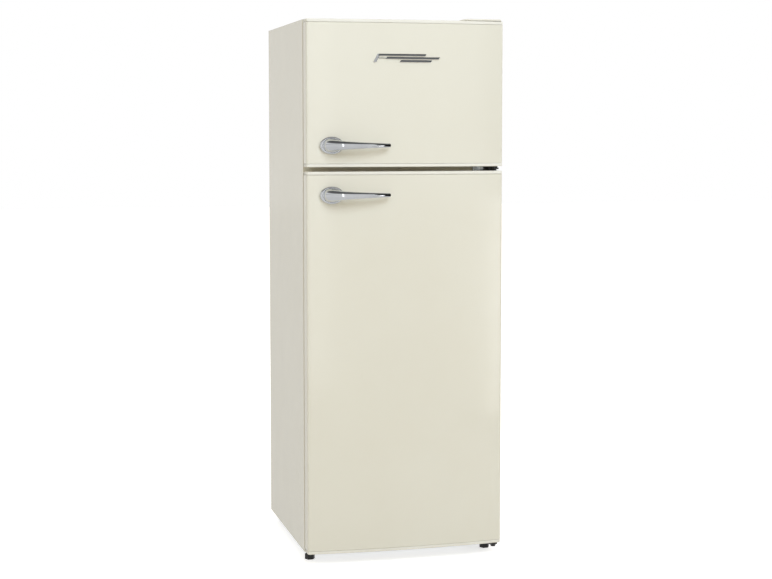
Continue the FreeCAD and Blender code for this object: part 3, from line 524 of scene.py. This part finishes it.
def buildHandleBase(name, body, node):
    low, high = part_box(node)
    middle = (low.z + high.z) / 2
    bm = bmesh.new()
    points = [bm.verts.new((handle["x"], y, middle + r)) for r, y in handle["baseProfile"]]
    lines = [bm.edges.new(pair) for pair in zip(points, points[1:])]
    bmesh.ops.spin(bm, geom=points + lines, cent=(handle["x"], 0, middle), axis=(0, 1, 0), angle=2 * pi,
                   steps=handle["baseSteps"], use_merge=True)
    bmesh.ops.remove_doubles(bm, verts=bm.verts, dist=10 * tiny)
    bmesh.ops.holes_fill(bm, edges=bm.edges, sides=0)
    bmesh.ops.scale(bm, verts=bm.verts, vec=(handle["baseAspect"], 1, 1),
                    space=Matrix.Translation((-handle["x"], 0, -middle)))
    return finishPiece(bm, name, body, "handle_chrome", [node])


def buildHandleLever(name, body, baseNode, node):
    low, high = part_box(baseNode)
    middle = (low.z + high.z) / 2
    rows = smoothSections(handle["leverSections"], handle["perSpan"])
    bm = bmesh.new()
    loop, last = None, None
    for i, (along, out, halfUp, halfAcross) in enumerate(rows):
        before, after = rows[max(i - 1, 0)], rows[min(i + 1, len(rows) - 1)]
        tangent = Vector((after[0] - before[0], before[1] - after[1], 0)).normalized()
        across = tangent.cross(Vector((0, 0, 1))).normalized()
        turn = Matrix((across * halfAcross, Vector((0, 0, halfUp)), tangent)).transposed().to_4x4()
        here = Matrix.Translation((handle["x"] + along, door["cornerY"] - out, middle)) @ turn
        if loop is None:
            ring = bmesh.ops.create_circle(bm, cap_ends=True, segments=handle["leverSides"], radius=1,
                                           matrix=here)
            loop = list({e for v in ring["verts"] for e in v.link_edges})
        else:
            grown = bmesh.ops.extrude_edge_only(bm, edges=loop)["geom"]
            bmesh.ops.transform(bm, matrix=here @ last.inverted(), verts=pointsOf(grown))
            fresh = set(pointsOf(grown))
            loop = [e for e in edgesOf(grown) if all(v in fresh for v in e.verts)]
        last = here
    bmesh.ops.holes_fill(bm, edges=loop, sides=0)
    return finishPiece(bm, name, body, "handle_chrome", [node])


# ---- ornament on the freezer door
badge = {
    "z": 1.354,
    "slant": 0.0090,
    "proud": 0.0034,
    "topProud": 0.0010,
    "sunk": 0.001,             # how far the bars reach into the skin
    "barHeight": 0.0056,
    # x from, x to, z
    "bars": [(-0.081, 0.048, 0.0055), (-0.060, 0.0855, -0.0025), (-0.022, 0.064, -0.0105)],
    "tail": (-0.093, 0.008, 0.012),      # x, width, lean over the badge's height
    "tailShare": 0.94,         # how proud it stands, as a share of the bars
    "keel": (-0.085, 0.087, 0.0021),     # x from, x to, height
    "keelShare": 0.75,
    "soften": 0.0007,
    "softenShare": 0.3,        # most that is softened of a bar's height
    "cutSpacing": 0.016,       # the bars are cut at these steps to follow the bow
    "cuts": 12,
}


def addBar(bm, left, right, low, high, lean, proud):
    made = bmesh.ops.create_cube(bm, size=1)["verts"]
    middle = ((left + right) / 2, (badge["sunk"] - proud) / 2, (low + high) / 2)
    bmesh.ops.scale(bm, verts=made, vec=(right - left, proud + badge["sunk"], high - low))
    bmesh.ops.translate(bm, verts=made, vec=middle)
    for point in made:
        rise = (point.co.z - low) / (high - low)
        point.co.x += lean * rise
        if point.co.y < 0:      # the face looks slightly up
            point.co.y += (badge["proud"] - badge["topProud"]) * rise
    edges = {e for v in made for e in v.link_edges}
    bevelEdges(bm, edges, min(badge["soften"], (high - low) * badge["softenShare"]))


def buildBadge(name, body, node):
    bm = bmesh.new()
    half = badge["barHeight"] + badge["bars"][0][2]
    for left, right, low in badge["bars"]:
        addBar(bm, left, right, low, low + badge["barHeight"], badge["slant"] / 2, badge["proud"])
    x, width, lean = badge["tail"]
    addBar(bm, x, x + width, -half, half, lean, badge["proud"] * badge["tailShare"])
    left, right, height = badge["keel"]
    addBar(bm, left, right, -height / 2, height / 2, 0, badge["proud"] * badge["keelShare"])
    for i in range(badge["cuts"]):
        bmesh.ops.bisect_plane(bm, geom=bm.verts[:] + bm.edges[:] + bm.faces[:], plane_no=(1, 0, 0),
                               plane_co=(badge["tail"][0] + badge["cutSpacing"] * i, 0, 0))
    for point in bm.verts:
        point.co.y += bowY(point.co.x)
        point.co.z += badge["z"]
    return finishPiece(bm, name, body, "handle_chrome", [node])


# ---- magnetic seals
seal = {
    "cornerRadius": 0.006,
    "cornerSteps": 5,
    # how far in from the outer wall, and y, of each loop across the seal
    "loops": [(0.0, -0.2174), (0.0004, -0.2167), (0.0012, -0.2163), (0.0032, -0.2163), (0.0044, -0.2176),
              (0.0054, -0.2186), (0.0064, -0.2176), (0.0074, -0.2163), (0.0126, -0.2163), (0.0138, -0.2172),
              (0.0150, -0.2192), (0.0160, -0.2212)],
}


def buildSeal(name, body, node):
    low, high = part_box(node)
    middle = (low + high) / 2
    bm = bmesh.new()
    corners = [(low.x, low.z), (high.x, low.z), (high.x, high.z), (low.x, high.z)]
    bm.faces.new([bm.verts.new((x, low.y, z)) for x, z in corners])
    bmesh.ops.bevel(bm, geom=bm.verts[:], offset=seal["cornerRadius"], offset_type="OFFSET",
                    segments=seal["cornerSteps"], profile=0.5, affect="VERTICES", material=-1)
    outline = bm.edges[:]
    bmesh.ops.delete(bm, geom=bm.faces[:], context="FACES_ONLY")
    loop, reached = outline, 0.0
    for inward, y in seal["loops"] + [(seal["loops"][-1][0], low.y)]:
        grown = bmesh.ops.extrude_edge_only(bm, edges=loop)["geom"]
        fresh = set(pointsOf(grown))
        for point in fresh:
            point.co.x -= copysign(inward - reached, point.co.x - middle.x)
            point.co.z -= copysign(inward - reached, point.co.z - middle.z)
            point.co.y = y
        loop, reached = [e for e in edgesOf(grown) if fresh.issuperset(e.verts)], inward
    bmesh.ops.bridge_loops(bm, edges=outline + loop)
    return finishPiece(bm, name, body, "gasket_rubber", [node])


for body, doorName in (("freezer_door", "freezer"), ("fridge_door", "fridge")):
    buildDoorSkin(doorName + "DoorSkin", body, doorName + "_door_skin")
    buildDoorCap(doorName + "DoorTopCap", body, doorName + "_door_top_cap", 1)
    buildDoorCap(doorName + "DoorBottomCap", body, doorName + "_door_bottom_cap", -1)
    buildSeal(doorName + "DoorSeal", body, doorName + "_door_gasket")
    buildHandleBase(doorName + "HandleBase", body, doorName + "_handle_base")
    buildHandleLever(doorName + "HandleLever", body, doorName + "_handle_base", doorName + "_handle_lever")
buildBadge("doorOrnament", "freezer_door", "badge")
print("doors built")


# ---- hinge cover, hinge plate, feet and condenser wires
def addBlock(bm, low, high):
    made = bmesh.ops.create_cube(bm, size=1)["verts"]
    bmesh.ops.scale(bm, verts=made, vec=high - low)
    bmesh.ops.translate(bm, verts=made, vec=(low + high) / 2)


hingeCover = {"upright": 0.009, "uprightSteps": 6, "rim": 0.0030, "rimSteps": 4}


def buildHingeCover():
    low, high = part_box("top_hinge_cover")
    bm = bmesh.new()
    addBlock(bm, low, high)
    uprights = [e for e in bm.edges if abs(e.verts[0].co.z - e.verts[1].co.z) > (high.z - low.z) / 2]
    bevelEdges(bm, uprights, hingeCover["upright"], hingeCover["uprightSteps"])
    rim = [e for e in bm.edges if all(v.co.z > high.z - 10 * tiny for v in e.verts)]
    bevelEdges(bm, rim, hingeCover["rim"], hingeCover["rimSteps"])
    return finishPiece(bm, "topHingeCover", "cabinet", "cream_plastic", ["top_hinge_cover"])


# bright plate under the two screws of the middle bracket
hingePlate = {
    "low": (0.2004, -0.2194, 1.0514),
    "high": (0.2226, -0.2190, 1.0706),
    "corner": 0.002,
    "cornerSteps": 4,
    "bevel": 0.00015,
    "bevelSteps": 2,
}


def buildHingePlate():
    low, high = Vector(hingePlate["low"]), Vector(hingePlate["high"])
    bm = bmesh.new()
    addBlock(bm, low, high)
    through = [e for e in bm.edges if abs(e.verts[0].co.y - e.verts[1].co.y) > (high.y - low.y) / 2]
    bevelEdges(bm, through, hingePlate["corner"], hingePlate["cornerSteps"])
    front = [e for e in bm.edges if all(v.co.y < low.y + tiny for v in e.verts)]
    bevelEdges(bm, front, hingePlate["bevel"], hingePlate["bevelSteps"])
    return finishPiece(bm, "middleHingePlate", "cabinet", "zinc_steel", [])


foot = {
    "padRadius": 0.014,
    "padHeight": 0.015,
    "padBevel": 0.0011,
    "stemRadius": 0.0040,
    "stemSides": 20,
    "stemSunk": 0.001,         # how far the stem starts inside the pad
    "stemPoint": 0.0006,
    "threadDepth": 0.0006,
    "pitch": 0.00125,
    "stemTop": 0.044,
}


def buildFoot(name, body, node):
    low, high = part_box(node)
    x, y = (low.x + high.x) / 2, (low.y + high.y) / 2
    bm = bmesh.new()
    hexagon = Matrix.Translation((x, y, foot["padHeight"] / 2)) @ Matrix.Rotation(pi / 2, 4, "Z")
    bmesh.ops.create_cone(bm, cap_ends=True, segments=6, radius1=foot["padRadius"], radius2=foot["padRadius"],
                          depth=foot["padHeight"], matrix=hexagon)
    bevelEdges(bm, bm.edges[:], foot["padBevel"])
    turns = int((foot["stemTop"] - foot["padHeight"]) / foot["pitch"])
    start = foot["padHeight"] - foot["stemSunk"]
    # crest and root of the thread by turns
    profile = [(foot["stemRadius"] - foot["threadDepth"] * (i % 2), start + i * foot["pitch"] / 2)
               for i in range(2 * turns + 1)]
    points = [bm.verts.new((x + r, y, z)) for r, z in profile]
    points.append(bm.verts.new((x, y, profile[-1][1] + foot["stemPoint"])))
    lines = [bm.edges.new(pair) for pair in zip(points, points[1:])]
    bmesh.ops.spin(bm, geom=points + lines, cent=(x, y, 0), axis=(0, 0, 1), angle=2 * pi,
                   steps=foot["stemSides"], use_merge=True)
    bmesh.ops.remove_doubles(bm, verts=bm.verts, dist=10 * tiny)
    bmesh.ops.holes_fill(bm, edges=bm.edges, sides=0)
    return finishPiece(bm, name, body, "black_plastic", [node])


condenserGrid = {
    "tubeY": 0.307,
    "off": 0.0033,             # a wire's centre from the middle of the tube
    "radius": 0.0009,
    "sides": 8,
    "halfSpan": 0.2015,
    "count": 40,
    "low": 0.252,
    "high": 1.400,
    "straps": (-0.150, -0.050, 0.050, 0.150),
    "strapRoom": 0.0085,
}


def buildCondenserWires():
    grid = condenserGrid
    bm = bmesh.new()
    for side in (-1, 1):
        for i in range(grid["count"]):
            x = -grid["halfSpan"] + 2 * grid["halfSpan"] * i / (grid["count"] - 1)
            if side < 0 and any(abs(x - strap) < grid["strapRoom"] for strap in grid["straps"]):
                continue       # a strap holds the tube there
            middle = (x, grid["tubeY"] + side * grid["off"], (grid["low"] + grid["high"]) / 2)
            bmesh.ops.create_cone(bm, cap_ends=True, segments=grid["sides"], radius1=grid["radius"],
                                  radius2=grid["radius"], depth=grid["high"] - grid["low"],
                                  matrix=Matrix.Translation(middle))
    return finishPiece(bm, "condenserWires", "cabinet", "black_steel", [])


buildHingeCover()
buildHingePlate()
buildFoot("leftFoot", "left_foot", "front_foot_left")
buildFoot("rightFoot", "right_foot", "front_foot_right")
buildCondenserWires()
print("hinge cover, hinge plate, feet and condenser wires built")


# ---- floor, lights and what the chrome mirrors
white, black = (1.0, 1.0, 1.0, 1.0), (0.0, 0.0, 0.0, 1.0)
studio = {
    "skyTone": (1.0, 0.92, 0.81),
    "skyStrength": 0.73,
    "backdrop": white,
    # what polished metal mirrors: sine of the height above the horizon, brightness
    "mirrored": [(-1.0, 0.80), (-0.30, 0.80), (-0.06, 0.82), (0.10, 0.75), (0.22, 0.45), (0.34, 0.90),
                 (0.50, 0.62), (0.60, 0.16), (1.0, 0.10)],
    "floorSize": 40.0,
    "floorTone": (226, 225, 221),
    "floorRoughness": 0.6,
    "floorGlow": 0.68,
    "floorMirrorGlow": 0.66,
    "paintDrift": 0.985,       # darkest share of a studio paint's tone
    "cardTone": (10, 10, 10),
    "cardRoughness": 0.9,
    # name, place, aimed at, size, watts, tone
    "lights": [("keySoftbox", (0.3, -2.8, 2.8), (0.0, -0.2, 1.1), 1.6, 52.0, (0.70, 0.81, 1.0)),
               ("leftSoftbox", (-3.4, -0.6, 2.2), (-0.3, 0.0, 1.2), 1.6, 8.0, (0.36, 0.66, 1.0)),
               ("rightSoftbox", (3.6, 0.4, 1.6), (0.3, 0.0, 0.8), 2.0, 22.0, (0.72, 0.84, 1.0)),
               ("backSoftbox", (-0.4, 3.8, 1.9), (0.0, 0.3, 0.8), 2.0, 26.0, (0.80, 0.89, 1.0))],
    # cards that only reflections show: name, size, place, turn, glow
    "cards": [("rightCard", (2.8, 3.0), (2.13, -1.47, 1.3), (90, 0, 62), 0.0),
              ("floorCard", (2.0, 2.0), (2.0, -1.4, 0.004), (0, 0, 0), 0.0),
              ("leftStrip", (0.44, 3.4), (-0.16, -3.2, 1.3), (90, 0, 2), 1.9),
              ("rightStrip", (0.44, 1.2), (1.34, -2.15, 0.30), (90, 0, 29), 3.0)],
}


def stagePlane(name, size, place, turn, material):
    bm = bmesh.new()
    bmesh.ops.create_grid(bm, x_segments=1, y_segments=1, size=0.5)
    bmesh.ops.scale(bm, verts=bm.verts, vec=(size[0], size[1], 1))
    mesh = bpy.data.meshes.new(name)
    bm.to_mesh(mesh)
    bm.free()
    plane = bpy.data.objects.new(name, mesh)
    plane.location = place
    plane.rotation_euler = [radians(angle) for angle in turn]
    scene.collection.objects.link(plane)
    mesh.materials.append(material)
    return plane


def stagePaint(name, tone, roughness):
    # hands back the material, its tree, its shader, the paint's tone and the Object coordinates
    material = bpy.data.materials.new(name)
    material.use_nodes = True
    tree = material.node_tree
    shader = tree.nodes["Principled BSDF"]
    here = tree.nodes.new("ShaderNodeTexCoord").outputs["Object"]
    pale = toLinear(tone)
    darker = tuple(c * studio["paintDrift"] for c in pale[:3]) + (1.0,)
    paint = mixTones(tree, noiseAt(tree, here, 1.5, 3.0), darker, pale)
    tree.links.new(paint, shader.inputs["Base Color"])
    shader.inputs["Roughness"].default_value = roughness
    shader.inputs["Emission Color"].default_value = white
    return material, tree, shader, paint, here


def floorPaint():
    # glows where it is seen or mirrored, so it doesn't light the cabinet from below
    material, tree, shader, paint, _ = stagePaint("paleFloor", studio["floorTone"], studio["floorRoughness"])
    path = addNode(tree, "LightPath").outputs
    seen = times(tree, path["Is Camera Ray"], studio["floorGlow"])
    mirrored = times(tree, path["Is Glossy Ray"], studio["floorMirrorGlow"])
    total = addNode(tree, "Math", {0: seen, 1: mirrored}, operation="ADD").outputs[0]
    tree.links.new(total, shader.inputs["Emission Strength"])
    tree.links.new(mixTones(tree, path["Is Glossy Ray"], paint, black), shader.inputs["Base Color"])
    return material


def cardPaint(name, width, glow):
    material, tree, shader, _, here = stagePaint(name, studio["cardTone"], studio["cardRoughness"])
    if glow:
        # brightest along the middle, and clear at both long edges
        across = addNode(tree, "SeparateXYZ", {"Vector": here}).outputs["X"]
        offCentre = addNode(tree, "Math", {0: across}, operation="ABSOLUTE").outputs[0]
        soft = addNode(tree, "MapRange", {"Value": offCentre, "From Min": 0.0, "From Max": width / 2,
                                          "To Min": 1.0, "To Max": 0.0}, interpolation_type="SMOOTHSTEP")
        tree.links.new(soft.outputs[0], shader.inputs["Alpha"])
        shader.inputs["Emission Strength"].default_value = glow
    return material


def buildWorld():
    # the camera sees white, surfaces are lit by the sky tone, and metal mirrors the bands
    world = bpy.data.worlds.new("studioWorld")
    world.use_nodes = True
    tree = world.node_tree
    path = addNode(tree, "LightPath").outputs
    direction = addNode(tree, "TexCoord").outputs["Generated"]
    height = addNode(tree, "SeparateXYZ", {"Vector": direction}).outputs["Z"]
    ramp = addNode(tree, "ValToRGB", {"Fac": spread(tree, height, -1.0, 1.0)})
    stops = ramp.color_ramp.elements
    stops.remove(stops[1])
    for i, (level, brightness) in enumerate(studio["mirrored"]):
        stop = stops[0] if i == 0 else stops.new((level + 1) / 2)
        stop.position = (level + 1) / 2
        stop.color = (brightness, brightness, brightness, 1.0)
    sky = tuple(studio["skyStrength"] * c for c in studio["skyTone"]) + (1.0,)
    lit = mixTones(tree, path["Is Glossy Ray"], sky, ramp.outputs["Color"])
    seen = mixTones(tree, path["Is Camera Ray"], lit, studio["backdrop"])
    tree.links.new(seen, tree.nodes["Background"].inputs["Color"])
    scene.world = world


def addSoftbox(name, place, target, size, watts, tone):
    lightData = bpy.data.lights.new(name, "AREA")
    lightData.shape = "SQUARE"
    lightData.size = size
    lightData.energy = watts
    lightData.color = tone
    lamp = bpy.data.objects.new(name, lightData)
    lamp.location = place
    lamp.rotation_euler = (Vector(target) - Vector(place)).to_track_quat("-Z", "Y").to_euler()
    lamp.visible_glossy = False        # the chrome mirrors the cards in its place
    scene.collection.objects.link(lamp)


buildWorld()
stagePlane("studioFloor", (studio["floorSize"], studio["floorSize"]), (0, 0, 0), (0, 0, 0), floorPaint())
for name, size, place, turn, glow in studio["cards"]:
    card = stagePlane(name, size, place, turn, cardPaint(name + "Paint", size[0], glow))
    card.visible_camera = False
    card.visible_diffuse = False
    card.visible_shadow = False
for row in studio["lights"]:
    addSoftbox(*row)
print("studio ready:", len(studio["lights"]), "softboxes,", len(studio["cards"]), "cards")
